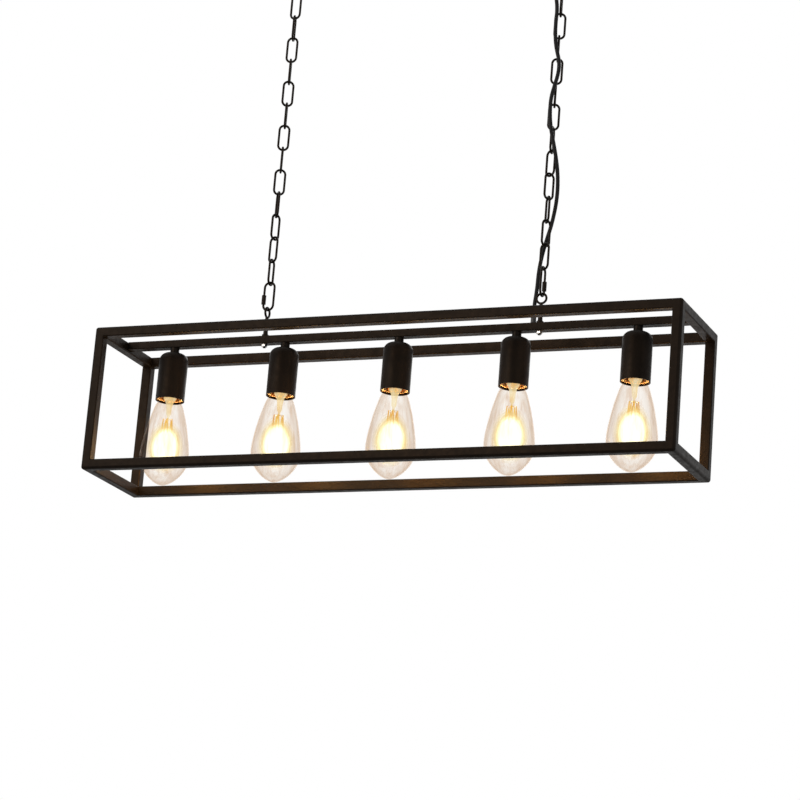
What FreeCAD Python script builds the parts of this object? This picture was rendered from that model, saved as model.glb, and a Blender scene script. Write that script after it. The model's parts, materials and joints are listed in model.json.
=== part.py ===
"""Linear island pendant: a long open box cage of black square tube on two chains,
with five bare lamps hanging from a bar along the middle of its top.

Millimetres, +Z up, +X along the cage. The origin is on the ceiling, midway
between the two ceiling fittings, so the whole lamp lies below z = 0.
"""
import FreeCAD
import Part
import math
import os

V = FreeCAD.Vector

# Cage: outer size and its square tube
CAGE_LENGTH = 800.0
CAGE_DEPTH = 150.0
CAGE_HEIGHT = 192.0
TUBE = 13.0
TUBE_WALL = 1.6
TUBE_EDGE = 1.5
CAGE_EDGE = 3.5

# Centre bar: a channel with a cover strip
BAR_WIDTH = 13.0
BAR_HEIGHT = 10.0
BAR_WALL = 1.5
COVER = 1.0

# Chains
CHAIN_X = 190.0
WIRE = 3.0
LINK_LENGTH = 37.5
LINK_WIDTH = 16.0
LINK_GAP = 0.1
LINKS = 15
FOOT_LINK_LENGTH = 41.0
FOOT_LINK_WIDTH = 17.0
SLEEVE_RADIUS = 2.9
SLEEVE = (-10.5, 1.5)
PITCH = LINK_LENGTH - 2 * WIRE - LINK_GAP
# How far each link is turned about the chain, from the lowest link up
LEFT_TURNS = (0, 90, -21, 71, 128, 30, 118, 24, 112, 32, 112, 12, 106, 0, 90)
RIGHT_TURNS = (90, -21, 65, 127, 57, -21, 95, 22, 112, 20, 112, 22, 106, 0, 90)

# Ceiling fittings
CANOPY_RADIUS = 60.0
CANOPY_DEPTH = 25.0
CANOPY_WALL = 1.2
CANOPY_EDGE = 8.0
BRACKET = (20.0, 100.0, 2.0)
BRACKET_SLOT_SPACING = 80.0
SLOT_LENGTH = 14.0
SCREW_HOLE = 2.25
HOOK_PLATE_RADIUS = 25.0
HOOK_PLATE = 3.0
HOOK_HOLE_SPACING = 32.0
RING_RADIUS = 8.0
RING_WIRE = 3.5
RING_Z = -38.5
STEM_RADIUS = 4.0
HOOK_STEM_RADIUS = 3.0
HOOK_OPENING = 60.0
NUT_HEIGHT = 3.0

# Eye bolts on the centre bar
EYE_RADIUS = 6.5
EYE_HEIGHT = 33.4
EYE_COLLAR = (4.5, 3.0)
EYE_SHANK = 2.0
EYE_NUT = (3.5, 3.2)

# Lamps
LAMPS = 5
LAMP_PITCH = 160.0
STEM_COLLAR = 6.0
STEM_DROP = 7.5
STEM_BORE = 2.6
HOLDER_RADIUS = 19.0
HOLDER_HEIGHT = 64.0
HOLDER_WALL = 1.4
SHOULDER = 10.0
CORE_RADIUS = 17.2
SOCKET_BORE = 14.4
SOCKET_INNER = 13.45
BULB_LENGTH = 144.0
BULB_CAP = 26.0
GLASS_WALL = 0.9
# Outline of the glass: height above its lowest point, radius
GLASS_OUTLINE = ((0.0, 0.0), (1.2, 6.0), (4.4, 11.8), (9.5, 18.2), (15.5, 23.6), (23.0, 28.4), (32.0, 31.4),
                 (41.0, 32.0), (55.0, 30.7), (70.0, 28.0), (85.0, 24.7), (98.0, 21.0), (108.0, 17.6),
                 (114.5, 14.2), (117.4, 11.7), (120.0, 11.35))
THREAD_CREST = 13.1
THREAD_ROOT = 12.3
THREAD_PITCH = 3.6
FILAMENT_STRANDS = 10
FILAMENT_TOP = (89.0, 6.0)
FILAMENT_FOOT = (37.0, 11.0)
FILAMENT_RADIUS = 0.6
FILAMENT_BEND = 0.8

# Supply cord and the two tapered grips at its ends
CORD = 2.5
GRIP_STUB = 1.0
TOP_GRIP = {"x": -15.5, "y": 0.0, "length": 22.0, "flange": 5.6, "shoulder": 4.0, "tip": 3.4}
FOOT_GRIP = {"x": -9.7, "y": 2.2, "length": 22.0, "flange": 4.2, "shoulder": 3.6, "tip": 3.1}
# The cord's way beside and round the right chain: x and y from the chain, height above the bar
CORD_ROUTE = ((-9.7, 2.2, 22), (-9.7, 2.2, 28), (-9.4, 4.0, 37.5), (-9.0, 5.8, 51), (-8.9, 6.8, 72),
              (-6.4, 9.2, 96), (-2.7, 10.9, 115), (1.9, 11.0, 132), (5.9, 9.5, 150), (9.3, 6.3, 168),
              (11.0, 1.9, 186), (10.9, -2.7, 204), (8.8, -6.9, 222), (5.3, -9.9, 240), (1.2, -11.1, 258),
              (-1.3, -11.1, 277), (-1.6, -11.2, 298), (2.0, -11.0, 315), (6.0, -9.5, 333), (6.2, -9.4, 350),
              (1.2, -11.1, 368), (-1.2, -11.2, 385), (-1.8, -11.1, 404), (-0.8, -11.1, 422),
              (-3.6, -10.8, 440), (-7.6, -9.3, 456), (-11.6, -6.4, 471), (-14.4, -2.9, 486),
              (-15.5, 0.0, 499), (-15.5, 0.0, 510.55))
WIRE_LEAD = 0.9
LEAD_SIDE = 3.6
LEAD_DEPTH = 4.2
TAIL_DEPTH = 2.6

# Worked-out places
RING_FOOT = RING_Z - RING_RADIUS
TOP_LINK_Z = RING_FOOT + (RING_WIRE + WIRE) / 2 + LINK_GAP - (LINK_LENGTH - WIRE) / 2
SWAY_TOP_Z = TOP_LINK_Z - (LINK_LENGTH - WIRE) / 2
SWAY_FOOT_Z = SWAY_TOP_Z - (LINKS - 2) * PITCH
FOOT_LINK_Z = SWAY_FOOT_Z + WIRE + LINK_GAP - (FOOT_LINK_LENGTH - WIRE) / 2
ROCK_Z = FOOT_LINK_Z - (FOOT_LINK_LENGTH - WIRE) / 2
EYE_Z = ROCK_Z + WIRE + LINK_GAP - EYE_RADIUS
CAGE_TOP = EYE_Z - EYE_HEIGHT
CAGE_CENTRE = CAGE_TOP - CAGE_HEIGHT / 2
BAR_FOOT = CAGE_TOP - BAR_HEIGHT
HOLDER_TOP = BAR_FOOT - STEM_DROP
HOLDER_FOOT = HOLDER_TOP - HOLDER_HEIGHT
BULB_TIP = CAGE_TOP - 52.0
BULB_FOOT = BULB_TIP - BULB_LENGTH
CAP_FOOT = BULB_TIP - BULB_CAP
CORE_FOOT = CAP_FOOT - 1.0
LAMP_X = [(index - (LAMPS - 1) / 2) * LAMP_PITCH for index in range(LAMPS)]

parts = {}


def keep(name, *solids):
    """Put one sub-part, of one or more separate solids, under its node's name."""
    parts[name] = solids[0] if len(solids) == 1 else Part.makeCompound(list(solids))


def block(low, high):
    return Part.makeBox(high[0] - low[0], high[1] - low[1], high[2] - low[2], V(*low))


def rod(radius, x, y, low, high):
    """An upright cylinder between two heights."""
    return Part.makeCylinder(radius, high - low, V(x, y, low), V(0, 0, 1))


def rod_between(radius, start, end):
    way = V(*end) - V(*start)
    return Part.makeCylinder(radius, way.Length, V(*start), way)


def ball(radius, place):
    return Part.makeSphere(radius, V(*place))


def turned(edges, x):
    """A solid of revolution about the upright line through (x, 0), from edges in the XZ plane."""
    face = Part.Face(Part.Wire(edges))
    solid = face.revolve(V(0, 0, 0), V(0, 0, 1), 360)
    solid.translate(V(x, 0, 0))
    return solid


def outline(points):
    """Straight edges in the XZ plane through (radius, height) points."""
    places = [V(radius, 0, height) for radius, height in points]
    return [Part.makeLine(one, two) for one, two in zip(places, places[1:])]


def turned_polygon(points, x):
    return turned(outline(list(points) + [points[0]]), x)


def hexagon(flat_radius, x, low, high):
    corner = flat_radius / math.cos(math.radians(30))
    ring = [V(x + corner * math.cos(math.radians(60 * k)), corner * math.sin(math.radians(60 * k)), low)
            for k in range(7)]
    return Part.Face(Part.makePolygon(ring)).extrude(V(0, 0, high - low))


def drilled(radius, x, low, high, solid):
    return solid.cut(rod(radius, x, 0, low - 1, high + 1))


# ---------------------------------------------------------------- chains

def half_ring(radius, wire):
    """Half a torus above the XY plane, in the XZ plane."""
    section = Part.Face(Part.Wire(Part.makeCircle(wire / 2, V(radius, 0, 0), V(0, 0, 1))))
    return section.revolve(V(0, 0, 0), V(0, -1, 0), 180)


def link(x, z, turn, length=LINK_LENGTH, width=LINK_WIDTH, sleeve=0):
    """One chain link, its long way upright, turned about its own length. sleeve gives the side
    on which a connecting link has its threaded sleeve."""
    radius = (width - WIRE) / 2
    side = (length - width) / 2
    top = half_ring(radius, WIRE)
    top.translate(V(0, 0, side))
    foot = half_ring(radius, WIRE)
    foot.rotate(V(0, 0, 0), V(1, 0, 0), 180)
    foot.translate(V(0, 0, -side))
    sides = [rod(WIRE / 2, way * radius, 0, -side, side) for way in (-1, 1)]
    if sleeve:
        sides.append(rod(SLEEVE_RADIUS, sleeve * radius, 0, *SLEEVE))
    ring = top.multiFuse([foot] + sides).removeSplitter()
    ring.rotate(V(0, 0, 0), V(0, 0, 1), turn)
    ring.translate(V(x, 0, z))
    return ring


def make_chains():
    foot_links = []
    top_links = []
    for side, x, turns, sleeve in (("left", -CHAIN_X, LEFT_TURNS, -1), ("right", CHAIN_X, RIGHT_TURNS, 1)):
        heights = [TOP_LINK_Z - (LINKS - 1 - k) * PITCH for k in range(LINKS)]
        keep("chain_" + side, *[link(x, heights[k], turns[k]) for k in range(1, LINKS - 1)])
        top_links.append(link(x, TOP_LINK_Z, turns[-1]))
        foot_links.append(link(x, FOOT_LINK_Z, turns[0], FOOT_LINK_LENGTH, FOOT_LINK_WIDTH, sleeve))
    keep("top_links", *top_links)
    keep("bottom_links", *foot_links)


# ---------------------------------------------------------------- ceiling

def make_canopy():
    """A round dish with a loop under it, held by a crossbar on the ceiling."""
    inner = CANOPY_RADIUS - CANOPY_WALL
    bend = CANOPY_EDGE - CANOPY_WALL
    low = -CANOPY_DEPTH
    diagonal = math.sqrt(0.5)
    centre = (CANOPY_RADIUS - CANOPY_EDGE, low + CANOPY_EDGE)

    def arc(radius, start, end):
        middle = V(centre[0] + radius * diagonal, 0, centre[1] - radius * diagonal)
        return Part.Arc(V(start[0], 0, start[1]), middle, V(end[0], 0, end[1])).toShape()

    edges = outline([(STEM_RADIUS + 0.1, low + CANOPY_WALL), (STEM_RADIUS + 0.1, low), (centre[0], low)])
    edges.append(arc(CANOPY_EDGE, (centre[0], low), (CANOPY_RADIUS, centre[1])))
    edges += outline([(CANOPY_RADIUS, centre[1]), (CANOPY_RADIUS, 0), (inner, 0), (inner, centre[1])])
    edges.append(arc(bend, (inner, centre[1]), (centre[0], low + CANOPY_WALL)))
    edges += outline([(centre[0], low + CANOPY_WALL), (STEM_RADIUS + 0.1, low + CANOPY_WALL)])
    dish = turned(edges, CHAIN_X)
    hole = TOP_GRIP["shoulder"] + 0.1
    keep("canopy", drilled(hole, CHAIN_X + TOP_GRIP["x"], low, low + CANOPY_WALL, dish))

    width, length, thick = BRACKET
    bar = block((CHAIN_X - width / 2, -length / 2, -thick), (CHAIN_X + width / 2, length / 2, 0))
    bar = drilled(STEM_RADIUS + 0.05, CHAIN_X, -thick, 0, bar)
    half_slot = SLOT_LENGTH / 2 - SCREW_HOLE
    for way in (-1, 1):
        middle = way * BRACKET_SLOT_SPACING / 2
        slot = block((CHAIN_X - SCREW_HOLE, middle - half_slot, -thick - 1),
                     (CHAIN_X + SCREW_HOLE, middle + half_slot, 1))
        ends = [rod(SCREW_HOLE, CHAIN_X, middle + end * half_slot, -thick - 1, 1) for end in (-1, 1)]
        bar = bar.cut(slot.multiFuse(ends))
    keep("canopy_bracket", bar)

    nut = hexagon(7.0, CHAIN_X, -thick - NUT_HEIGHT, -thick)
    keep("canopy_nut", drilled(STEM_RADIUS, CHAIN_X, -thick - NUT_HEIGHT, -thick, nut))

    ring = Part.makeTorus(RING_RADIUS, RING_WIRE / 2, V(CHAIN_X, 0, RING_Z), V(0, 1, 0))
    collar = rod(7.0, CHAIN_X, 0, low - 4.0, low)
    stem = rod(STEM_RADIUS, CHAIN_X, 0, low - 4.0, -0.2)
    keep("canopy_loop", ring.multiFuse([collar, stem]))


def make_ceiling_hook():
    """A small round plate that carries an open hook for the other chain."""
    plate = rod(HOOK_PLATE_RADIUS, -CHAIN_X, 0, -HOOK_PLATE, 0)
    rim = [edge for edge in plate.Edges if abs(edge.CenterOfMass.z + HOOK_PLATE) < 0.01]
    plate = plate.makeFillet(1.2, rim[:1])
    plate = drilled(HOOK_STEM_RADIUS + 0.05, -CHAIN_X, -HOOK_PLATE, 0, plate)
    for way in (-1, 1):
        plate = drilled(SCREW_HOLE, -CHAIN_X + way * HOOK_HOLE_SPACING / 2, -HOOK_PLATE, 0, plate)
    keep("hook_plate", plate)

    section = Part.Face(Part.Wire(Part.makeCircle(RING_WIRE / 2, V(0, 0, RING_RADIUS), V(1, 0, 0))))
    bend = section.revolve(V(0, 0, 0), V(0, 1, 0), -(360 - HOOK_OPENING))
    tip = V(RING_RADIUS * math.sin(math.radians(HOOK_OPENING)), 0,
            RING_RADIUS * math.cos(math.radians(HOOK_OPENING)))
    bend = bend.fuse(ball(RING_WIRE / 2, tip))
    bend.translate(V(-CHAIN_X, 0, RING_Z))
    stem_foot = RING_Z + RING_RADIUS
    stem = rod(HOOK_STEM_RADIUS, -CHAIN_X, 0, stem_foot, -0.3)
    collar = rod(5.5, -CHAIN_X, 0, -HOOK_PLATE - 3.0, -HOOK_PLATE)
    keep("ceiling_hook", bend.multiFuse([stem, ball(HOOK_STEM_RADIUS, (-CHAIN_X, 0, stem_foot)), collar]))


# ---------------------------------------------------------------- cage

def rounded_square(size, radius, axis):
    """A square with rounded corners about the origin, across one axis."""
    half = size / 2
    flat = half - radius
    near = half - radius + radius * math.sqrt(0.5)

    def place(u, v):
        return {"x": V(0, u, v), "y": V(u, 0, v), "z": V(u, v, 0)}[axis]

    edges = []
    for su, sv, swap in ((1, 1, False), (-1, 1, True), (-1, -1, False), (1, -1, True)):
        one, two = place(su * half, sv * flat), place(su * flat, sv * half)
        corner = Part.Arc(one, place(su * near, sv * near), two).toShape()
        edges.append(corner)
    for way in (-1, 1):
        edges.append(Part.makeLine(place(way * half, -flat), place(way * half, flat)))
        edges.append(Part.makeLine(place(-flat, way * half), place(flat, way * half)))
    return Part.Face(Part.Wire(Part.__sortEdges__(edges)))


HALF = {"x": CAGE_LENGTH / 2, "y": CAGE_DEPTH / 2, "z": CAGE_HEIGHT / 2}
UNIT = {"x": V(1, 0, 0), "y": V(0, 1, 0), "z": V(0, 0, 1)}


def mitre_tool(along, end, other, side):
    """The wedge that a member loses to the member that runs along the other axis at one corner."""
    third = ({"x", "y", "z"} - {along, other}).pop()
    corner = UNIT[along] * (end * HALF[along]) + UNIT[other] * (side * HALF[other])
    into = UNIT[along] * -end
    across = UNIT[other] * -side
    reach = TUBE + 1
    low = corner - (into + across) - UNIT[third] * (HALF[third] + 2)
    points = [low, low + (into + across) * (reach + 1), low + across * (reach + 1), low]
    return Part.Face(Part.makePolygon(points)).extrude(UNIT[third] * (2 * HALF[third] + 4))


def member(along, sides):
    """One hollow tube of the cage, mitred three ways at both ends. sides gives the place across."""
    length = 2 * HALF[along]
    middle = V(0, 0, 0)
    for other, side in sides.items():
        middle += UNIT[other] * (side * (HALF[other] - TUBE / 2))
    solid = rounded_square(TUBE, TUBE_EDGE, along).extrude(UNIT[along] * length)
    void = rounded_square(TUBE - 2 * TUBE_WALL, 0.4, along).extrude(UNIT[along] * (length + 4))
    solid.translate(middle - UNIT[along] * (length / 2))
    void.translate(middle - UNIT[along] * (length / 2 + 2))
    solid = solid.cut(void)
    for end in (-1, 1):
        for other, side in sides.items():
            solid = solid.cut(mitre_tool(along, end, other, side))
    return solid.common(ENVELOPE)


def make_envelope():
    full = Part.makeBox(CAGE_LENGTH, CAGE_DEPTH, CAGE_HEIGHT,
                        V(-CAGE_LENGTH / 2, -CAGE_DEPTH / 2, -CAGE_HEIGHT / 2))
    return full.makeFillet(CAGE_EDGE, full.Edges)


ENVELOPE = make_envelope()
DEPTHS = {"front": -1, "back": 1}
LEVELS = {"bottom": -1, "top": 1}
SIDES = {"left": -1, "right": 1}


def make_cage():
    tubes = {}
    for depth, y in DEPTHS.items():
        for level, z in LEVELS.items():
            tubes[depth + "_" + level + "_rail"] = member("x", {"y": y, "z": z})
        for side, x in SIDES.items():
            tubes[depth + "_" + side + "_post"] = member("z", {"x": x, "y": y})
    for side, x in SIDES.items():
        for level, z in LEVELS.items():
            tubes[side + "_" + level + "_rail"] = member("y", {"x": x, "z": z})
    for name, tube in tubes.items():
        tube.translate(V(0, 0, CAGE_CENTRE))
        keep(name, tube)


def make_centre_bar():
    """The bar that carries the lamps: a channel along the top, closed by a strip."""
    end = CAGE_LENGTH / 2 - TUBE
    half = BAR_WIDTH / 2
    top = CAGE_TOP - COVER
    outer = block((-end, -half, BAR_FOOT), (end, half, top))
    edges = [edge for edge in outer.Edges if abs(edge.CenterOfMass.z - BAR_FOOT) < 0.01
             and abs(edge.CenterOfMass.x) < 1]
    outer = outer.makeFillet(1.0, edges)
    channel = outer.cut(block((-end - 1, BAR_WALL - half, BAR_FOOT + BAR_WALL), (end + 1, half - BAR_WALL, top + 1)))
    cover = block((-end, -half, top), (end, half, CAGE_TOP))
    for x in LAMP_X:
        channel = drilled(STEM_RADIUS + 0.1, x, BAR_FOOT, BAR_FOOT + BAR_WALL, channel)
    for x in (-CHAIN_X, CHAIN_X):
        channel = drilled(EYE_SHANK + 0.1, x, BAR_FOOT, BAR_FOOT + BAR_WALL, channel)
        cover = drilled(EYE_SHANK + 0.1, x, top, CAGE_TOP, cover)
    grip_hole = rod(FOOT_GRIP["shoulder"] + 0.1, CHAIN_X + FOOT_GRIP["x"], FOOT_GRIP["y"], top - 1, CAGE_TOP + 1)
    cover = cover.cut(grip_hole)
    keep("centre_bar", channel)
    keep("centre_bar_cover", cover)


def make_eye_bolts():
    bolts = []
    nuts = []
    for x, turn in ((-CHAIN_X, 90), (CHAIN_X, 0)):
        ring = Part.makeTorus(EYE_RADIUS, WIRE / 2, V(0, 0, EYE_Z), V(0, 1, 0))
        ring.rotate(V(0, 0, 0), V(0, 0, 1), turn)
        ring.translate(V(x, 0, 0))
        collar_radius, collar = EYE_COLLAR
        collar_top = CAGE_TOP + collar
        neck = Part.makeCone(3.2, 2.2, EYE_Z - EYE_RADIUS - collar_top, V(x, 0, collar_top), V(0, 0, 1))
        disc = rod(collar_radius, x, 0, CAGE_TOP, collar_top)
        nut_flat, nut = EYE_NUT
        shank = rod(EYE_SHANK, x, 0, BAR_FOOT - nut - 1.5, CAGE_TOP)
        bolts.append(ring.multiFuse([neck, disc, shank]))
        nuts.append(drilled(EYE_SHANK, x, BAR_FOOT - nut, BAR_FOOT, hexagon(nut_flat, x, BAR_FOOT - nut, BAR_FOOT)))
    keep("eye_bolts", *bolts)
    keep("eye_nuts", *nuts)


# ---------------------------------------------------------------- lamps

def make_stem(x):
    """A threaded tube with a collar, from the bar's floor into the lamp holder."""
    collar = rod(STEM_COLLAR, x, 0, HOLDER_TOP, BAR_FOOT)
    thread = rod(STEM_RADIUS, x, 0, HOLDER_TOP - 11.5, BAR_FOOT + BAR_WALL + 2.6)
    return drilled(STEM_BORE, x, HOLDER_TOP - 12, CAGE_TOP, collar.fuse(thread))


def make_stem_nut(x):
    low = BAR_FOOT + BAR_WALL
    return drilled(STEM_RADIUS, x, low, low + 2.0, rod(4.8, x, 0, low, low + 2.0))


def shoulder_arc(radius, start, end):
    diagonal = math.sqrt(0.5)
    centre = (HOLDER_RADIUS - SHOULDER, HOLDER_TOP - SHOULDER)
    middle = V(centre[0] + radius * diagonal, 0, centre[1] + radius * diagonal)
    return Part.Arc(V(start[0], 0, start[1]), middle, V(end[0], 0, end[1])).toShape()


def make_holder_shell(x):
    """The black cup round each lamp holder, open below."""
    flat = HOLDER_RADIUS - SHOULDER
    bend = HOLDER_TOP - SHOULDER
    inside = HOLDER_RADIUS - HOLDER_WALL
    ceiling = HOLDER_TOP - HOLDER_WALL
    hole = STEM_RADIUS + 0.1
    edges = outline([(hole, ceiling), (hole, HOLDER_TOP), (flat, HOLDER_TOP)])
    edges.append(shoulder_arc(SHOULDER, (flat, HOLDER_TOP), (HOLDER_RADIUS, bend)))
    edges += outline([(HOLDER_RADIUS, bend), (HOLDER_RADIUS, HOLDER_FOOT), (inside, HOLDER_FOOT), (inside, bend)])
    edges.append(shoulder_arc(SHOULDER - HOLDER_WALL, (inside, bend), (flat, ceiling)))
    edges += outline([(flat, ceiling), (hole, ceiling)])
    return turned(edges, x)


def make_socket_core(x):
    """The insulating body inside the shell, with a bore for the screw shell."""
    top = HOLDER_TOP - HOLDER_WALL - 0.6
    stem_end = HOLDER_TOP - 11.6
    return turned_polygon([(STEM_RADIUS, top), (11.0, top), (CORE_RADIUS, top - 9.0), (CORE_RADIUS, CORE_FOOT),
                           (SOCKET_BORE, CORE_FOOT), (SOCKET_BORE, BULB_TIP - 1.5), (8.0, BULB_TIP - 1.5),
                           (8.0, BULB_TIP + 6.0), (3.0, BULB_TIP + 6.0), (3.0, stem_end),
                           (STEM_RADIUS, stem_end)], x)


def make_socket_thread(x):
    """The brass screw shell: a tube with a rolled thread outline."""
    top = BULB_TIP - 2.0
    outside = []
    inside = []
    steps = int((top - CAP_FOOT) / (THREAD_PITCH / 2))
    for k in range(steps + 1):
        swell = 0.25 if k % 2 else 0.0
        height = CAP_FOOT + k * THREAD_PITCH / 2
        inside.append((SOCKET_INNER + swell, height))
        outside.append((SOCKET_INNER + swell + 0.5, height))
    return turned_polygon(inside + outside[::-1], x)


def make_socket_contact(x):
    """The sprung tab that meets the tip of the lamp's cap."""
    disc = rod(5.0, x, 0, BULB_TIP, BULB_TIP + 1.0)
    return disc.fuse(rod(3.5, x, 0, BULB_TIP + 1.0, BULB_TIP + 6.0))


def smooth(points):
    """One smooth edge in the XZ plane through (height, radius) points, level where it starts."""
    curve = Part.BSplineCurve()
    curve.interpolate([V(radius, 0, height) for height, radius in points],
                      InitialTangent=V(1, 0, 0), FinalTangent=V(0, 0, 1))
    return curve.toShape()


def make_bulb_glass(x):
    """The clear teardrop envelope, as a thin shell open at its neck."""
    outer = [(BULB_FOOT + height, radius) for height, radius in GLASS_OUTLINE]
    inner = [(BULB_FOOT + GLASS_WALL, 0.0)]
    for before, point, after in zip(GLASS_OUTLINE, GLASS_OUTLINE[1:], GLASS_OUTLINE[2:]):
        run = (after[0] - before[0], after[1] - before[1])
        size = math.hypot(*run)
        inner.append((BULB_FOOT + point[0] + GLASS_WALL * run[1] / size,
                      point[1] - GLASS_WALL * run[0] / size))
    inner.append((outer[-1][0], outer[-1][1] - GLASS_WALL))
    rim = Part.makeLine(V(outer[-1][1], 0, outer[-1][0]), V(inner[-1][1], 0, inner[-1][0]))
    foot = Part.makeLine(V(0, 0, inner[0][0]), V(0, 0, outer[0][0]))
    return turned([smooth(outer), rim, smooth(inner), foot], x)


def make_bulb_cap(x):
    """The screw cap: skirt, rolled thread, insulator and centre contact."""
    skirt = CAP_FOOT + 3.0
    points = [(THREAD_CREST - 0.1, CAP_FOOT), (THREAD_CREST - 0.1, skirt)]
    crests = int((BULB_TIP - 6.5 - skirt) / (THREAD_PITCH / 2))
    for k in range(crests + 1):
        points.append((THREAD_CREST if k % 2 else THREAD_ROOT, skirt + 0.6 + k * THREAD_PITCH / 2))
    shoulder = points[-1][1]
    points += [(9.5, shoulder + 1.8), (5.0, BULB_TIP - 1.0), (4.2, BULB_TIP), (0, BULB_TIP),
               (0, shoulder - 1.0), (11.45, shoulder - 1.0), (11.45, CAP_FOOT)]
    return turned_polygon(points, x)


def make_bulb_inside(x):
    """Glass foot, its rod, two lead wires and the zigzag filament."""
    foot = turned_polygon([(0, BULB_FOOT + 34.0), (1.3, BULB_FOOT + 34.0), (1.3, BULB_FOOT + 92.0),
                           (3.2, BULB_FOOT + 96.0), (3.8, BULB_FOOT + 106.0), (8.6, BULB_FOOT + 118.0),
                           (8.6, BULB_FOOT + 120.5), (0, BULB_FOOT + 120.5)], x)
    stars = [rod(2.2, x, 0, BULB_FOOT + height, BULB_FOOT + height + 1.6) for height in (36.0, 88.0)]
    solid = foot.multiFuse(stars)
    places = []
    for k in range(FILAMENT_STRANDS):
        height, radius = FILAMENT_TOP if k % 2 == 0 else FILAMENT_FOOT
        angle = math.radians(360.0 * k / FILAMENT_STRANDS)
        places.append((x + radius * math.cos(angle), radius * math.sin(angle), BULB_FOOT + height))
    strands = [rod_between(FILAMENT_RADIUS, one, two) for one, two in zip(places, places[1:])]
    joints = [ball(FILAMENT_BEND, place) for place in places]
    wire = strands[0].multiFuse(strands[1:] + joints)
    spokes = []
    for k, place in enumerate(places):
        level = BULB_FOOT + (88.8 if k % 2 == 0 else 36.8)
        spokes.append(rod_between(0.35, (x, 0, level), place))
    return solid.multiFuse([wire] + spokes)


def make_lamps():
    keep("lamp_stems", *[make_stem(x) for x in LAMP_X])
    keep("stem_nuts", *[make_stem_nut(x) for x in LAMP_X])
    keep("socket_cores", *[make_socket_core(x) for x in LAMP_X])
    keep("socket_threads", *[make_socket_thread(x) for x in LAMP_X])
    keep("socket_contacts", *[make_socket_contact(x) for x in LAMP_X])
    for number, x in enumerate(LAMP_X, 1):
        keep("holder_shell_%d" % number, make_holder_shell(x))
        keep("bulb_%d_glass" % number, make_bulb_glass(x))
        keep("bulb_%d_cap" % number, make_bulb_cap(x))
        keep("bulb_%d_filament" % number, make_bulb_inside(x))


# ---------------------------------------------------------------- cord and wiring

def tube_along(name, route, radius):
    """A round tube along straight runs joined by tangent arcs as large as the runs allow."""
    edges = []
    start = route[0]
    radii = []
    for before, point, after in zip(route, route[1:], route[2:]):
        come, go = (point - before), (after - point)
        run = min(come.Length, go.Length)
        come.normalize()
        go.normalize()
        half_turn = come.getAngle(go) / 2
        setback = 0.45 * run
        radii.append(setback / math.tan(half_turn))
        bisector = (go - come)
        bisector.normalize()
        inside = radii[-1] * (1 / math.cos(half_turn) - 1)
        one, two = point - come * setback, point + go * setback
        edges.append(Part.makeLine(start, one))
        edges.append(Part.Arc(one, point + bisector * inside, two).toShape())
        start = two
    edges.append(Part.makeLine(start, route[-1]))
    path = Part.Wire(edges)
    ring = Part.Wire(Part.makeCircle(radius, route[0], route[1] - route[0]))
    tube = path.makePipeShell([ring], True, False)
    expected = math.pi * radius ** 2 * path.Length
    print("%s: length %.1f, least radius %.1f, volume over section x length %.4f"
          % (name, path.Length, min(radii), tube.Volume / expected))
    return tube


def grip(size, base, way):
    """A tapered strain relief round the cord, from the surface that it stands on to its tip."""
    tip = base + way * size["length"]
    flange = base + way * 1.8
    bore = CORD + 0.05
    stub = base - way * GRIP_STUB
    profile = [(bore, stub), (size["shoulder"], stub), (size["shoulder"], base),
               (size["flange"], base), (size["flange"], flange), (size["shoulder"], flange + way * 0.8),
               (size["tip"], tip), (bore, tip)]
    solid = turned_polygon(profile, CHAIN_X + size["x"])
    solid.translate(V(0, size["y"], 0))
    return solid


def make_cord():
    route = [V(CHAIN_X + x, y, CAGE_TOP + height) for x, y, height in CORD_ROUTE]
    keep("supply_cord", tube_along("supply_cord", route, CORD))
    keep("cord_grip_top", grip(TOP_GRIP, -CANOPY_DEPTH, -1))
    keep("cord_grip_foot", grip(FOOT_GRIP, CAGE_TOP, 1))


def make_canopy_wiring():
    """The cord's end inside the canopy and the three connector caps on its wires."""
    tail_top = -14.0
    cord_x = CHAIN_X + TOP_GRIP["x"]
    cap_x = cord_x - 22.0
    tail = rod(CORD, cord_x, 0, -CANOPY_DEPTH - TOP_GRIP["length"], tail_top)
    solids = []
    for y in (-16.0, 0.0, 16.0):
        cap = Part.makeCone(4.2, 2.6, 13.0, V(cap_x, y, -19.0), V(0, 0, 1))
        bend = (cap_x, y, -21.0)
        lead = rod_between(WIRE_LEAD, (cord_x, 0, tail_top - 2.0), bend).fuse(ball(WIRE_LEAD, bend))
        lead = lead.fuse(rod(WIRE_LEAD, cap_x, y, -21.0, -18.0))
        solids.append(cap.fuse(lead))
    keep("canopy_wiring", tail.multiFuse(solids))


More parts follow.
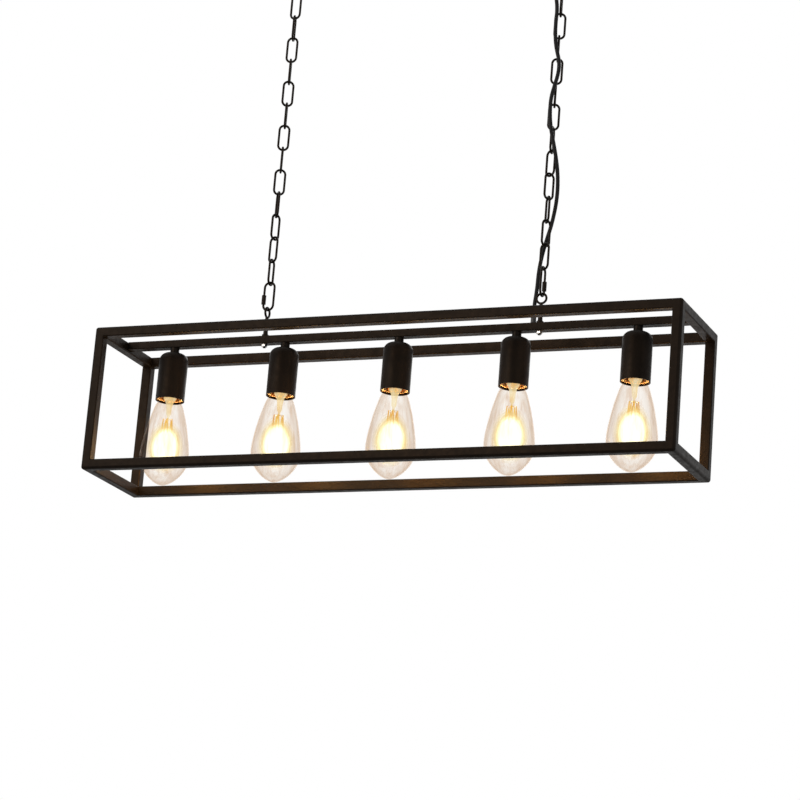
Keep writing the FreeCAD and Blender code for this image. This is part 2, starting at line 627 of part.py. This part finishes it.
def make_bar_wiring():
    """The two leads along the bar, with a drop into each lamp, and the cord's end."""
    level = CAGE_TOP - LEAD_DEPTH
    cord_x = CHAIN_X + FOOT_GRIP["x"]
    leads = []
    for way in (-1, 1):
        y = way * LEAD_SIDE
        shift = way * 1.2
        pieces = [rod_between(WIRE_LEAD, (LAMP_X[0] + shift, y, level), (LAMP_X[-1] + shift, y, level))]
        for x in LAMP_X:
            pieces.append(rod_between(WIRE_LEAD, (x + shift, y, level), (x + shift, 0, level)))
            pieces += [ball(WIRE_LEAD, (x + shift, y, level)), ball(WIRE_LEAD, (x + shift, 0, level))]
            pieces.append(rod(WIRE_LEAD, x + shift, 0, HOLDER_TOP - 20, level))
        landing = FOOT_GRIP["y"] + shift
        pieces.append(rod_between(WIRE_LEAD, (cord_x, y, level), (cord_x, landing, level)))
        pieces += [ball(WIRE_LEAD, (cord_x, y, level)), ball(WIRE_LEAD, (cord_x, landing, level))]
        pieces.append(rod(WIRE_LEAD, cord_x, landing, level, CAGE_TOP - TAIL_DEPTH))
        leads.append(pieces[0].multiFuse(pieces[1:]))
    tail = rod(CORD, cord_x, FOOT_GRIP["y"], CAGE_TOP - TAIL_DEPTH, CAGE_TOP + FOOT_GRIP["length"])
    keep("bar_wiring", *(leads + [tail]))


def main():
    make_canopy()
    make_ceiling_hook()
    make_chains()
    make_cage()
    make_centre_bar()
    make_eye_bolts()
    make_lamps()
    make_cord()
    make_canopy_wiring()
    make_bar_wiring()
    print("sway axes at z %.2f and %.2f, rock axis at z %.2f, ring foot at z %.2f, cage top at z %.2f"
          % (SWAY_TOP_Z, SWAY_FOOT_Z, ROCK_Z, RING_FOOT, CAGE_TOP))
    os.makedirs("parts", exist_ok=True)
    for name, shape in parts.items():
        shape.exportStep("parts/%s.step" % name)
    print(len(parts), "parts")


main()
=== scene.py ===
"""Looks of the linear island pendant: a black enamelled cage on two chains, a black cord and
five lit clear lamps. Everything is in metres, in the frame of the solids: the origin is on the
ceiling, midway between the fittings, and +X runs along the cage."""
import bpy
import json
import math
from mathutils import Matrix, Vector


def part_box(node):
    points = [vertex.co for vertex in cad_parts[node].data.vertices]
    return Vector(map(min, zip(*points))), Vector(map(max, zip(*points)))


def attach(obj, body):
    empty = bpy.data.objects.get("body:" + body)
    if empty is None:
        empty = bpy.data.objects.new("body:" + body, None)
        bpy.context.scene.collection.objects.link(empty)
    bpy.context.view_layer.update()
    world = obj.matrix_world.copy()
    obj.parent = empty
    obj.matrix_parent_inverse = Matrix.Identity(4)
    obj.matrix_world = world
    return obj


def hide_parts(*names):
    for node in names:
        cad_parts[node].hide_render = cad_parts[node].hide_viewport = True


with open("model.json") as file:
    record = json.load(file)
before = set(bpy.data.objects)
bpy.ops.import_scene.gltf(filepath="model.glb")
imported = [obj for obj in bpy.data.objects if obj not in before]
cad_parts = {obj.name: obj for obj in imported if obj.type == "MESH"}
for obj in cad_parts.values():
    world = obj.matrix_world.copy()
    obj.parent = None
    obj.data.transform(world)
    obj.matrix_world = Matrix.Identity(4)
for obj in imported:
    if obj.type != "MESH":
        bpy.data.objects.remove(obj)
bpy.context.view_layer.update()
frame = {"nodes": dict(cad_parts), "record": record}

MM = 0.001
LAMPS = 5

# Places read from the frame
CAGE_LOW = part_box("front_bottom_rail")[0].z
CAGE_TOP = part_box("front_top_rail")[1].z
CAGE_CENTRE = Vector((0, 0, (CAGE_LOW + CAGE_TOP) / 2))
CHAIN_X = ((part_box("chain_right")[0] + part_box("chain_right")[1]) / 2).x

# The camera, set by the photograph's perspective: where it stands from the cage's centre, which
# way its right side and its lens point, its long lens, its sensor and how far it sees
CAMERA_OFFSET = Vector((1.4627, -3.3345, -1.0329))
CAMERA_RIGHT = Vector((0.922385, 0.378552, 0.076840))
CAMERA_FORWARD = Vector((-0.384594, 0.881503, 0.273935))
CAMERA_LENS = 134.36
CAMERA_SENSOR = 36.0
CAMERA_REACH = 60.0

# The supply cord in millimetres: its thickness and its points beside and round the right chain,
# with x and y from the chain and height above the cage
CORD_DIAMETER = 5.0
CORD_ROUTE = (
    (-9.7, 2.2, 22), (-9.7, 2.2, 28), (-9.4, 4.0, 37.5), (-9.0, 5.8, 51), (-8.9, 6.8, 72),
    (-6.4, 9.2, 96), (-2.7, 10.9, 115), (1.9, 11.0, 132), (5.9, 9.5, 150), (9.3, 6.3, 168),
    (11.0, 1.9, 186), (10.9, -2.7, 204), (8.8, -6.9, 222), (5.3, -9.9, 240), (1.2, -11.1, 258),
    (-1.3, -11.1, 277), (-1.6, -11.2, 298), (2.0, -11.0, 315), (6.0, -9.5, 333),
    (6.2, -9.4, 350), (1.2, -11.1, 368), (-1.2, -11.2, 385), (-1.8, -11.1, 404),
    (-0.8, -11.1, 422), (-3.6, -10.8, 440), (-7.6, -9.3, 456), (-11.6, -6.4, 471),
    (-14.4, -2.9, 486), (-15.5, 0.0, 499), (-15.5, 0.0, 510.55))
# The order of its curve, and how finely its curve is drawn along and round it
CORD_ORDER = 3
CORD_STEPS = 10
CORD_ROUNDNESS = 5

# Inside each lamp, in millimetres, with heights above the glass's lowest point. The lit wire goes
# up and down between the upper and the lower corners, each given by height and radius
STRANDS = 10
STRAND_TOP = (89.0, 6.0)
STRAND_FOOT = (37.0, 11.0)
STRAND_RADIUS = 0.7
SPOKE_RADIUS = 0.3
WIRE_SIDES = 8
# The glass rod and the glass foot that holds it, as radius and height
STEM_OUTLINE = (
    (0, 34.0), (1.3, 34.4), (2.2, 36.0), (2.2, 37.4), (1.3, 38.2), (1.3, 87.0), (2.2, 88.0),
    (2.2, 89.6), (1.4, 90.4), (1.6, 93.0), (3.2, 96.0), (3.8, 106.0), (5.2, 112.0),
    (8.6, 118.0), (8.6, 120.4), (0, 120.5))
STEM_SIDES = 24
# The glow: the height of its middle, the size of its core, how much its foot is wider and its top
# narrower than its middle, and its steps upwards and round
GLOW_HEIGHT = 52.0
CORE_HEIGHT = 44.0
CORE_RADIUS = 15.0
GLOW_TAPER = 0.1
GLOW_STEPS = 12
GLOW_SIDES = 48
# The glow from its core outwards: size against the core's, how solid it is, its strength and its
# two colours
GLOW = (
    ("core", 1.00, 1.00, 2.6, (1.0, 0.96, 0.80), (1.0, 0.99, 0.94)),
    ("halo_1", 1.14, 0.50, 1.7, (1.0, 0.90, 0.52), (1.0, 0.96, 0.74)),
    ("halo_2", 1.30, 0.28, 1.1, (1.0, 0.80, 0.26), (1.0, 0.90, 0.44)),
    ("halo_3", 1.46, 0.16, 1.0, (1.0, 0.76, 0.24), (1.0, 0.88, 0.46)),
    ("halo_4", 1.62, 0.09, 1.0, (1.0, 0.78, 0.34), (1.0, 0.90, 0.56)))
# The light that each lamp gives, and its size in metres
LAMP_POWER = 1.5
LAMP_COLOUR = (1.0, 0.62, 0.24)
LAMP_SIZE = 0.014
# Crossings of clear surfaces that a ray may make, enough for five lamps in a row seen end on
CLEAR_SURFACES = 96

# Finishes. Paint: a dark and a light tone, the tone of the rubs, the least and the greatest
# roughness, how strong its gloss is and how strong the rubs are
PAINT = {
    "black_enamel": ((0.0032, 0.0027, 0.0024), (0.0068, 0.0048, 0.0036),
                     (0.016, 0.010, 0.006), (0.36, 0.50), 0.07, 0.5),
    "black_hardware": ((0.0030, 0.0028, 0.0027), (0.0066, 0.0056, 0.0050),
                       (0.035, 0.030, 0.026), (0.28, 0.44), 0.09, 0.6)}
# The tint of the paint's gloss
PAINT_GLOSS = (1.0, 0.74, 0.54)
# Metal: its colour, its shade, its roughness and the scale of its grain upwards
METAL = {
    "zinc_steel": ((0.66, 0.66, 0.64), (0.50, 0.51, 0.52), (0.24, 0.42), 0.1),
    "brass_shell": ((0.86, 0.60, 0.26), (0.68, 0.45, 0.18), (0.20, 0.38), 0.1),
    "cap_metal": ((0.90, 0.66, 0.32), (0.74, 0.52, 0.24), (0.18, 0.34), 0.2),
    "support_wire": ((0.60, 0.50, 0.38), (0.45, 0.36, 0.26), (0.3, 0.5), 0.2)}
# Mouldings: a dark and a light tone and the roughness
MOULDING = {
    "black_grip": ((0.009, 0.009, 0.009), (0.017, 0.016, 0.016), (0.42, 0.6)),
    "socket_body": ((0.26, 0.20, 0.13), (0.38, 0.30, 0.21), (0.45, 0.62))}
# The cord's jacket: a dark and a light tone and the tone of the scuffs
JACKET = ((0.004, 0.004, 0.0045), (0.008, 0.0075, 0.0075), (0.022, 0.020, 0.019))
# Leads: the three colours side by side, the grey of their dust and half the width they take up
LEAD_COLOURS = ((0.75, 0.74, 0.70), (0.012, 0.012, 0.012), (0.02, 0.16, 0.05))
LEAD_DUST = (0.2, 0.2, 0.2)
LEAD_SPREAD = 0.004
# Glass: what it lets through in its middle and at its rim, how the one blends into the other, and
# the share of gloss in both
GLASS_MIDDLE = (0.999, 0.994, 0.984)
GLASS_RIM = (0.90, 0.81, 0.73)
GLASS_BLEND = 0.24
GLASS_SHEEN = (0.0, 0.10)
# What glows: the filament, which is the lamp, and the glass rod, whose glow is painted light for
# the filament's light in it. Each has a cool and a hot colour, its strength and how solid it is
LIT = {
    "lit_filament": ((0.78, 0.36, 0.04), (0.95, 0.60, 0.12), 1.0, 1.0),
    # The rod's glow is painted light: the glass itself gives none
    "painted_glow_stem": ((1.0, 0.72, 0.28), (1.0, 0.90, 0.60), 0.95, 0.55)}
BLACK = (0.0, 0.0, 0.0)
WHITE = (1.0, 1.0, 1.0)

# The studio: the floor's height, half its width and its two tones, the world's strength as a light
# and as it is seen, and soft lamps, each with its place from the cage's centre, size, power and
# colour
FLOOR = -2.4
FLOOR_HALF = 6.0
FLOOR_TONES = ((0.78, 0.77, 0.75), (0.82, 0.81, 0.79))
WORLD_LIGHT = 0.35
WORLD_SEEN = 1.0
STUDIO = (
    ("key", (-1.6, -2.3, 1.3), 2.2, 42.0, (1.0, 0.985, 0.96)),
    ("fill", (2.6, -1.5, -0.2), 1.8, 16.0, (0.97, 0.985, 1.0)),
    ("back", (-0.6, 2.6, 0.7), 2.0, 24.0, (1.0, 1.0, 1.0)),
    ("table", (-0.75, -2.1, 0.45), 0.7, 7.0, (1.0, 0.62, 0.30)))


# ------------------------------------------------------------------ materials

class Shader:
    """A node tree with a Principled shader and short ways to feed it."""

    def __init__(self, name):
        self.material = bpy.data.materials.new(name)
        self.material.use_nodes = True
        self.tree = self.material.node_tree
        self.principled = self.tree.nodes["Principled BSDF"]
        self.output = self.tree.nodes["Material Output"]
        self.coordinates = self.node("ShaderNodeTexCoord").outputs["Object"]

    def node(self, kind, inputs=None, **settings):
        """A new node with its settings, and each input linked or set."""
        made = self.tree.nodes.new(kind)
        for key, value in settings.items():
            setattr(made, key, value)
        for key, value in (inputs or {}).items():
            self.feed(made.inputs[key], value)
        return made

    def feed(self, socket, value):
        """Link the socket to another one, or set its value. A colour gets its alpha here."""
        if isinstance(value, bpy.types.NodeSocket):
            self.tree.links.new(value, socket)
        elif socket.type == "RGBA":
            socket.default_value = (*value, 1.0)
        else:
            socket.default_value = value

    def drawn_out(self, scale):
        """Object coordinates with their Z scaled, to draw a pattern out upwards."""
        inputs = {"Vector": self.coordinates, "Scale": (1.0, 1.0, scale)}
        return self.node("ShaderNodeMapping", inputs).outputs["Vector"]

    def noise(self, scale, detail=3.0, roughness=0.55, where=None):
        """Noise of that many patches a metre."""
        inputs = {"Vector": where or self.coordinates, "Scale": scale, "Detail": detail,
                  "Roughness": roughness}
        return self.node("ShaderNodeTexNoise", inputs).outputs["Fac"]

    def spread(self, value, low, high, start=0.35, end=0.65):
        """The value between start and end, laid out from low to high."""
        inputs = {"Value": value, "From Min": start, "From Max": end, "To Min": low, "To Max": high}
        return self.node("ShaderNodeMapRange", inputs).outputs["Result"]

    def ramp(self, value, *stops):
        """Colours at places from 0 to 1."""
        made = self.node("ShaderNodeValToRGB", {"Fac": value})
        while len(made.color_ramp.elements) < len(stops):
            made.color_ramp.elements.new(0.5)
        for element, (place, colour) in zip(made.color_ramp.elements, stops):
            element.position = place
            element.color = (*colour, 1.0)
        return made.outputs["Color"]

    def mix(self, amount, one, two):
        """From colour one at an amount of 0 to colour two at 1."""
        made = self.node("ShaderNodeMix", {0: amount}, data_type="RGBA")
        colours = [socket for socket in made.inputs if socket.type == "RGBA"]
        for socket, colour in zip(colours, (one, two)):
            self.feed(socket, colour)
        return [socket for socket in made.outputs if socket.type == "RGBA"][0]

    def bump(self, *layers):
        """Bumps on each other: (height, depth in metres, strength)."""
        normal = None
        for height, depth, strength in layers:
            inputs = {"Height": height, "Distance": depth, "Strength": strength}
            if normal:
                inputs["Normal"] = normal
            normal = self.node("ShaderNodeBump", inputs).outputs["Normal"]
        self.look(Normal=normal)

    def look(self, **sockets):
        """Feed the Principled shader's sockets, named with _ for a space."""
        for key, value in sockets.items():
            self.feed(self.principled.inputs[key.replace("_", " ")], value)


def painted(name, dark, light, worn, roughness, gloss, wear):
    """Baked black enamel: a slight warm mottle, fine orange peel and small dull rubs."""
    made = Shader(name)
    mottle = made.ramp(made.noise(38.0, detail=4.0), (0.32, dark), (0.68, light))
    rubs = made.spread(made.noise(160.0, detail=5.0, roughness=0.7), 0.0, wear, 0.58, 0.74)
    made.look(Base_Color=made.mix(rubs, mottle, worn))
    made.look(Specular_IOR_Level=gloss, Specular_Tint=PAINT_GLOSS)
    made.look(Roughness=made.spread(made.noise(120.0, detail=4.0), *roughness))
    peel = made.noise(420.0, detail=2.0)
    grain = made.noise(900.0, detail=2.0)
    made.bump((peel, 0.0004, 0.12), (grain, 0.0001, 0.18))
    return made.material


def plated(name, colour, shade, roughness, drawn):
    """Bare or plated metal with a fine drawn grain."""
    made = Shader(name)
    grain = made.noise(260.0, detail=4.0, roughness=0.6, where=made.drawn_out(drawn))
    tones = made.ramp(made.noise(55.0, detail=4.0), (0.3, shade), (0.7, colour))
    made.look(Base_Color=tones, Metallic=1.0)
    made.look(Roughness=made.spread(grain, *roughness))
    made.bump((grain, 0.0002, 0.12))
    return made.material


def moulded(name, dark, light, roughness):
    """Moulded plastic or pressed insulation with a fine spark-eroded grain."""
    made = Shader(name)
    tones = made.ramp(made.noise(80.0, detail=4.0), (0.3, dark), (0.7, light))
    made.look(Base_Color=tones, Specular_IOR_Level=0.4)
    made.look(Roughness=made.spread(made.noise(300.0), *roughness))
    made.bump((made.noise(1100.0, detail=2.0), 0.00012, 0.3))
    return made.material


def jacketed(name):
    """Round black cable jacket: satin plastic with faint lines along it and a few scuffs."""
    dark, light, scuffed = JACKET
    made = Shader(name)
    tones = made.ramp(made.noise(70.0), (0.3, dark), (0.7, light))
    scuffs = made.spread(made.noise(240.0, detail=5.0, roughness=0.7), 0.0, 0.5, 0.60, 0.78)
    made.look(Base_Color=made.mix(scuffs, tones, scuffed), Specular_IOR_Level=0.10)
    made.look(Roughness=made.spread(made.noise(180.0), 0.36, 0.52))
    lines = made.noise(620.0, detail=3.0, roughness=0.6, where=made.drawn_out(0.06))
    made.bump((lines, 0.0003, 0.25))
    return made.material


def insulated(name):
    """Insulated leads in three colours, one beside another along Y."""
    made = Shader(name)
    place = made.node("ShaderNodeSeparateXYZ", {"Vector": made.coordinates}).outputs["Y"]
    across = made.spread(place, 0.0, 1.0, -LEAD_SPREAD, LEAD_SPREAD)
    colours = made.ramp(across, *zip((0.0, 0.5, 1.0), LEAD_COLOURS))
    dust = made.spread(made.noise(200.0), 0.0, 0.12)
    made.look(Base_Color=made.mix(dust, colours, LEAD_DUST))
    made.look(Roughness=made.spread(made.noise(260.0), 0.34, 0.5))
    made.bump((made.noise(500.0), 0.0002, 0.15))
    return made.material


def blown(name):
    """Blown clear glass: see-through, a little amber and darker where it is seen edge on, with a
    gloss that grows towards the edge."""
    made = Shader(name)
    edge = made.node("ShaderNodeLayerWeight", {"Blend": GLASS_BLEND}).outputs["Facing"]
    streaks = made.noise(120.0, detail=4.0, roughness=0.65, where=made.drawn_out(0.12))
    streaked = made.spread(streaks, 0.0, 0.55, 0.46, 0.64)
    tint = made.mix(streaked, made.mix(edge, GLASS_MIDDLE, GLASS_RIM), GLASS_RIM)
    clear = made.node("ShaderNodeBsdfTransparent", {"Color": tint})
    made.look(Base_Color=BLACK, Specular_IOR_Level=0.5)
    made.look(Roughness=made.spread(made.noise(30.0), 0.02, 0.06))
    made.bump((streaks, 0.0006, 0.25))
    gloss = made.spread(edge, *GLASS_SHEEN, start=0.0, end=1.0)
    inputs = {"Fac": gloss, 1: clear.outputs[0], 2: made.principled.outputs[0]}
    both = made.node("ShaderNodeMixShader", inputs)
    made.feed(made.output.inputs["Surface"], both.outputs[0])
    return made.material


def glowing(name, cool, hot, strength, solid):
    """A glow in two colours, in soft streaks that run up the lamp."""
    made = Shader(name)
    streaks = made.noise(150.0, detail=2.0, roughness=0.5, where=made.drawn_out(0.25))
    colour = made.ramp(streaks, (0.35, cool), (0.62, hot))
    made.look(Base_Color=BLACK, Specular_IOR_Level=0.0, Roughness=1.0)
    made.look(Emission_Color=colour, Emission_Strength=strength, Alpha=solid)
    return made.material


def make_finishes():
    """One finish for each slot of the record, and those of the scene's own pieces."""
    made = {name: painted(name, *values) for name, values in PAINT.items()}
    made.update({name: plated(name, *values) for name, values in METAL.items()})
    made.update({name: moulded(name, *values) for name, values in MOULDING.items()})
    made.update({name: glowing(name, *values) for name, values in LIT.items()})
    for part, _, solid, strength, cool, hot in GLOW:
        made[part] = glowing("glow_" + part, cool, hot, strength, solid)
    for name, finish in (("cord_jacket", jacketed), ("wire_insulation", insulated),
                         ("clear_glass", blown)):
        made[name] = finish(name)
    return made


# ------------------------------------------------------------------ pieces

def add_mesh(name, points, faces, finish, smooth=True):
    """A mesh in the scene, in one finish."""
    mesh = bpy.data.meshes.new(name)
    mesh.from_pydata(points, [], faces)
    mesh.update()
    for polygon in mesh.polygons:
        polygon.use_smooth = smooth
    mesh.materials.append(finish)
    made = bpy.data.objects.new(name, mesh)
    bpy.context.scene.collection.objects.link(made)
    return made


def lathe(name, outline, centre, finish, around):
    """A solid of revolution about an upright line, from (radius, height) points in metres that
    start and end on the line."""
    turns = [2 * math.pi * k / around for k in range(around)]
    points = [centre + Vector((0, 0, outline[0][1]))]
    for radius, height in outline[1:-1]:
        points += [centre + Vector((radius * math.cos(turn), radius * math.sin(turn), height))
                   for turn in turns]
    points.append(centre + Vector((0, 0, outline[-1][1])))
    rows = len(outline) - 2
    last = len(points) - 1
    faces = []
    for k in range(around):
        after = (k + 1) % around
        faces.append((0, 1 + after, 1 + k))
        for row in range(rows - 1):
            low = 1 + row * around
            faces.append((low + k, low + after, low + around + after, low + around + k))
        end = 1 + (rows - 1) * around
        faces.append((end + k, end + after, last))
    return add_mesh(name, points, faces, finish)


def wire_mesh(name, runs, radius, finish):
    """Round wire along straight runs, each a pair of points."""
    points = []
    faces = []
    for start, end in runs:
        along = (end - start).normalized()
        across = along.orthogonal().normalized()
        other = along.cross(across)
        first = len(points)
        last = first + WIRE_SIDES
        for place in (start, end):
            for k in range(WIRE_SIDES):
                angle = 2 * math.pi * k / WIRE_SIDES
                aside = across * (radius * math.cos(angle))
                points.append(place + aside + other * (radius * math.sin(angle)))
        for k in range(WIRE_SIDES):
            after = (k + 1) % WIRE_SIDES
            faces.append((first + k, first + after, last + after, last + k))
        faces.append(tuple(first + k for k in reversed(range(WIRE_SIDES))))
        faces.append(tuple(last + k for k in range(WIRE_SIDES)))
    return add_mesh(name, points, faces, finish)


def dress(piece, body, node):
    """Put a piece on its body, in place of the node that it stands for."""
    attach(piece, body)
    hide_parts(node)


def finish_solids(finishes):
    """Every node takes the finish of its slot."""
    for part in frame["record"]["subparts"]:
        mesh = frame["nodes"][part["node"]].data
        mesh.materials.clear()
        mesh.materials.append(finishes[part["material_slot"]])


def cord_place(x, y, height):
    """A point of the cord's route in the frame."""
    return CHAIN_X + x * MM, y * MM, CAGE_TOP + height * MM


def make_cord(finishes):
    """The cord in one smooth line from the grip on the cage to the grip in the canopy."""
    curve = bpy.data.curves.new("supply_cord_line", "CURVE")
    curve.dimensions = "3D"
    curve.bevel_depth = CORD_DIAMETER * MM / 2
    curve.bevel_resolution = CORD_ROUNDNESS
    curve.resolution_u = CORD_STEPS
    curve.use_fill_caps = True
    spline = curve.splines.new("NURBS")
    spline.points.add(len(CORD_ROUTE) - 1)
    for point, place in zip(spline.points, CORD_ROUTE):
        point.co = (*cord_place(*place), 1.0)
    spline.use_endpoint_u = True
    spline.order_u = CORD_ORDER
    curve.materials.append(finishes["cord_jacket"])
    cord = bpy.data.objects.new("supply_cord_line", curve)
    bpy.context.scene.collection.objects.link(cord)
    dress(cord, "right_chain", "supply_cord")


# ------------------------------------------------------------------ inside the lamps

def strand_corners(foot):
    """The corners of the lit wire's zigzag, round the lamp."""
    corners = []
    for k in range(STRANDS):
        height, radius = STRAND_TOP if k % 2 == 0 else STRAND_FOOT
        angle = 2 * math.pi * k / STRANDS
        corner = Vector((radius * math.cos(angle), radius * math.sin(angle), height))
        corners.append(foot + corner * MM)
    return corners


def make_strands(lamp, corners, finishes):
    """The lit wire from corner to corner."""
    runs = list(zip(corners, corners[1:]))
    strands = wire_mesh(lamp + "_strands", runs, STRAND_RADIUS * MM, finishes["lit_filament"])
    dress(strands, lamp, lamp + "_filament")


def make_spokes(lamp, foot, corners, finishes):
    """Fine wires that hold the corners, from two hubs on the glass rod."""
    hubs = [foot + Vector((0, 0, height * MM)) for height, _ in (STRAND_TOP, STRAND_FOOT)]
    runs = [(hubs[k % 2], corner) for k, corner in enumerate(corners)]
    spokes = wire_mesh(lamp + "_spokes", runs, SPOKE_RADIUS * MM, finishes["support_wire"])
    dress(spokes, lamp, lamp + "_filament")


def make_stem(lamp, foot, finishes):
    """The glass rod and the glass foot under the cap, in a painted glow for the light they carry
    from the lit wire.
    """
    outline = [(radius * MM, height * MM) for radius, height in STEM_OUTLINE]
    # The rod takes a painted glow, not a lamp's light
    stem = lathe(lamp + "_stem", outline, foot, finishes["painted_glow_stem"], STEM_SIDES)
    dress(stem, lamp, lamp + "_filament")


def drop_outline(size):
    """Outline of a rounded drop round the glow's middle, a little narrower at its top."""
    points = []
    for k in range(GLOW_STEPS + 1):
        angle = math.pi * k / GLOW_STEPS
        rise = -math.cos(angle)
        radius = size * CORE_RADIUS * math.sin(angle) * (1 - GLOW_TAPER * rise)
        points.append((radius * MM, (GLOW_HEIGHT + size * CORE_HEIGHT / 2 * rise) * MM))
    return points


def make_glow(lamp, foot, finishes):
    """The glow's core and halos, which cast no shadow and don't light dull surfaces."""
    for part, size, *_ in GLOW:
        glow = lathe(lamp + "_" + part, drop_outline(size), foot, finishes[part], GLOW_SIDES)
        glow.visible_shadow = False
        glow.visible_diffuse = False
        dress(glow, lamp, lamp + "_filament")


def make_lamp_light(lamp, foot):
    """The warm light from the glow's middle."""
    light = bpy.data.lights.new(lamp + "_light", "POINT")
    light.energy = LAMP_POWER
    light.color = LAMP_COLOUR
    light.shadow_soft_size = LAMP_SIZE
    made = bpy.data.objects.new(lamp + "_light", light)
    made.location = foot + Vector((0, 0, GLOW_HEIGHT * MM))
    bpy.context.scene.collection.objects.link(made)
    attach(made, lamp)


def make_lamps(finishes):
    """What is inside each lamp, round the upright line through its glass."""
    for number in range(1, LAMPS + 1):
        lamp = "bulb_%d" % number
        low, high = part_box(lamp + "_glass")
        foot = Vector(((low.x + high.x) / 2, (low.y + high.y) / 2, low.z))
        corners = strand_corners(foot)
        make_strands(lamp, corners, finishes)
        make_spokes(lamp, foot, corners, finishes)
        make_stem(lamp, foot, finishes)
        make_glow(lamp, foot, finishes)
        make_lamp_light(lamp, foot)


# ------------------------------------------------------------------ surroundings

def make_floor():
    """A plain floor well below the lamp."""
    dark, light = FLOOR_TONES
    made = Shader("floor")
    made.look(Base_Color=made.ramp(made.noise(3.0), (0.3, dark), (0.7, light)))
    made.look(Roughness=made.spread(made.noise(8.0), 0.6, 0.75))
    signs = ((-1, -1), (1, -1), (1, 1), (-1, 1))
    corners = [(x * FLOOR_HALF, y * FLOOR_HALF, FLOOR) for x, y in signs]
    add_mesh("floor", corners, [(0, 1, 2, 3)], made.material, smooth=False)


def make_world():
    """White to the camera and in reflections, softer as a light."""
    world = bpy.data.worlds.new("studio")
    bpy.context.scene.world = world
    world.use_nodes = True
    tree = world.node_tree
    tree.nodes.clear()
    path = tree.nodes.new("ShaderNodeLightPath")
    seen = path.outputs["Is Camera Ray"]
    for ray in ("Is Glossy Ray", "Is Transmission Ray"):
        either = tree.nodes.new("ShaderNodeMath")
        either.operation = "MAXIMUM"
        tree.links.new(seen, either.inputs[0])
        tree.links.new(path.outputs[ray], either.inputs[1])
        seen = either.outputs[0]
    mix = tree.nodes.new("ShaderNodeMixShader")
    tree.links.new(seen, mix.inputs["Fac"])
    for socket, strength in ((mix.inputs[1], WORLD_LIGHT), (mix.inputs[2], WORLD_SEEN)):
        background = tree.nodes.new("ShaderNodeBackground")
        background.inputs["Color"].default_value = (*WHITE, 1.0)
        background.inputs["Strength"].default_value = strength
        tree.links.new(background.outputs[0], socket)
    output = tree.nodes.new("ShaderNodeOutputWorld")
    tree.links.new(mix.outputs[0], output.inputs["Surface"])


def make_studio_lights():
    """Soft square lamps that all face the cage's centre."""
    for name, offset, size, power, colour in STUDIO:
        light = bpy.data.lights.new(name, "AREA")
        light.shape = "SQUARE"
        light.size = size
        light.energy = power
        light.color = colour
        made = bpy.data.objects.new(name, light)
        made.location = CAGE_CENTRE + Vector(offset)
        made.rotation_euler = (-Vector(offset)).to_track_quat("-Z", "Y").to_euler()
        bpy.context.scene.collection.objects.link(made)


def make_camera():
    """The photograph's camera."""
    camera = bpy.data.cameras.new("camera")
    camera.lens = CAMERA_LENS
    camera.sensor_width = CAMERA_SENSOR
    camera.clip_end = CAMERA_REACH
    back = -CAMERA_FORWARD.normalized()
    right = CAMERA_RIGHT.normalized()
    up = back.cross(right).normalized()
    turn = Matrix((right, up, back)).transposed().to_4x4()
    made = bpy.data.objects.new("camera", camera)
    made.matrix_world = Matrix.Translation(CAGE_CENTRE + CAMERA_OFFSET) @ turn
    bpy.context.scene.collection.objects.link(made)
    bpy.context.scene.camera = made


finishes = make_finishes()
finish_solids(finishes)
make_cord(finishes)
make_lamps(finishes)
make_floor()
make_world()
make_studio_lights()
make_camera()
bpy.context.scene.view_settings.view_transform = "Standard"
bpy.context.scene.cycles.transparent_max_bounces = CLEAR_SURFACES
